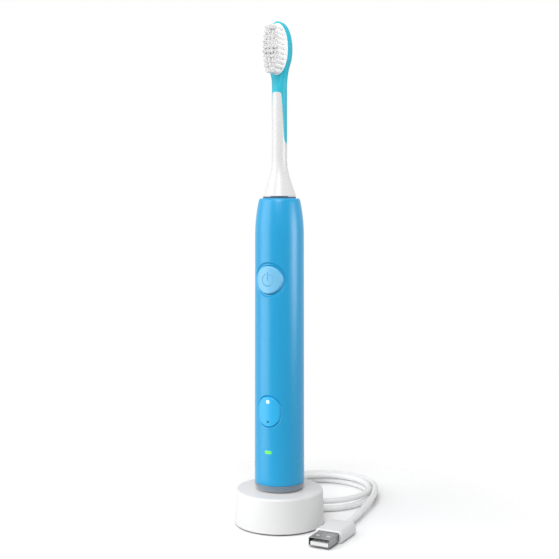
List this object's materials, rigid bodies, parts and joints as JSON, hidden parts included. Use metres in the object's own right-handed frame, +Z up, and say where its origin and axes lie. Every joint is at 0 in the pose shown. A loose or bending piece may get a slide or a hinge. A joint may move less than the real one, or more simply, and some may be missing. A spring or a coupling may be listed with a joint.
{
  "type": "electric toothbrush on charger",
  "caption": "Upright sonic toothbrush with round power and pill mode buttons and a clip-on brush head, standing on the post of a round puck charger with a coiled cord and USB plug.",
  "frame": {"origin": "centre of the charger puck's underside, on the table", "axes": "+Z up along the brush, the buttons and bristles face -Y, the plug lies on the +X side"},
  "size_m": [0.0817, 0.1241, 0.2763],
  "materials": {
    "handle_blue": "satin blue moulding",
    "button_pale": "satin pale blue moulding",
    "button_blue": "satin blue moulding",
    "light_mark": "white inlay",
    "dark_mark": "dark inlay",
    "lamp_green": "clear light pipe, lit green",
    "cap_grey": "satin slate grey moulding",
    "seal_rubber": "matt",
    "neck_white": "gloss white moulding",
    "overmould_teal": "satin turquoise soft overmould",
    "bristle_nylon": "translucent white nylon",
    "puck_white": "satin white moulding",
    "cord_white": "satin white jacket",
    "plug_white": "satin white moulding",
    "plug_steel": "bright folded sheet",
    "contact_gold": "gold plated",
    "shaft_steel": "ground",
    "foot_rubber": "matt",
    "board_green": "solder mask",
    "winding_copper": "enamelled wire",
    "ferrite_black": "sintered",
    "inner_plastic": "natural moulding",
    "switch_black": "matt",
    "cell_wrap": "shrink wrap",
    "stator_steel": "laminated"
  },
  "bodies": {
    "charger": {"charger_shell": "puck_white", "base_plate": "puck_white", "foot_ring": "foot_rubber", "charger_board": "board_green", "primary_bobbin": "inner_plastic", "primary_coil": "winding_copper", "ferrite_core": "ferrite_black", "cord_gland": "cord_white", "cord_lead": "cord_white", "cord_coil": "cord_white", "cord_tail": "cord_white", "usb_grip": "plug_white", "usb_shell": "plug_steel", "usb_tongue": "plug_white", "usb_contacts": "contact_gold"},
    "handle": {"handle_shell": "handle_blue", "bottom_cap": "cap_grey", "cap_seal": "seal_rubber", "shaft_seal": "seal_rubber", "charge_light": "lamp_green", "charge_led": "lamp_green", "carrier": "inner_plastic", "battery_cell": "cell_wrap", "battery_contacts": "shaft_steel", "circuit_board": "board_green", "board_screws": "shaft_steel", "power_switch": "switch_black", "mode_switch": "switch_black", "pickup_coil": "winding_copper", "stator_core": "stator_steel", "drive_coil": "winding_copper", "upper_bearing": "contact_gold", "lower_bearing": "contact_gold"},
    "drive": {"drive_shaft": "shaft_steel", "magnet_rotor": "ferrite_black"},
    "brush_head": {"brush_neck": "neck_white", "neck_overmould": "overmould_teal", "bristle_field": "bristle_nylon", "shaft_clip": "shaft_steel"},
    "power_button": {"power_button": "button_pale", "power_plunger": "switch_black"},
    "mode_button": {"mode_button": "button_blue", "mode_light_dot": "light_mark", "mode_dark_dot": "dark_mark", "mode_plunger": "switch_black"}
  },
  "joints": [
    {"name": "handle_lift", "type": "slide", "parent": "charger", "child": "handle", "axis": [0, 0, 1], "range_m": [0, 0.03]},
    {"name": "shaft_oscillation", "type": "hinge", "parent": "handle", "child": "drive", "pos_m": [0, 0, 0.1813], "axis": [0, 0, 1], "range_deg": [-6, 6], "stiffness_Nm_per_rad": 0.02},
    {"name": "head_pull_off", "type": "slide", "parent": "drive", "child": "brush_head", "axis": [0, 0, 1], "range_m": [0, 0.03]},
    {"name": "power_button_press", "type": "slide", "parent": "handle", "child": "power_button", "axis": [0, 1, 0], "range_m": [0, 0.0008], "stiffness_N_per_m": 800},
    {"name": "mode_button_press", "type": "slide", "parent": "handle", "child": "mode_button", "axis": [0, 1, 0], "range_m": [0, 0.0008], "stiffness_N_per_m": 800}
  ]
}
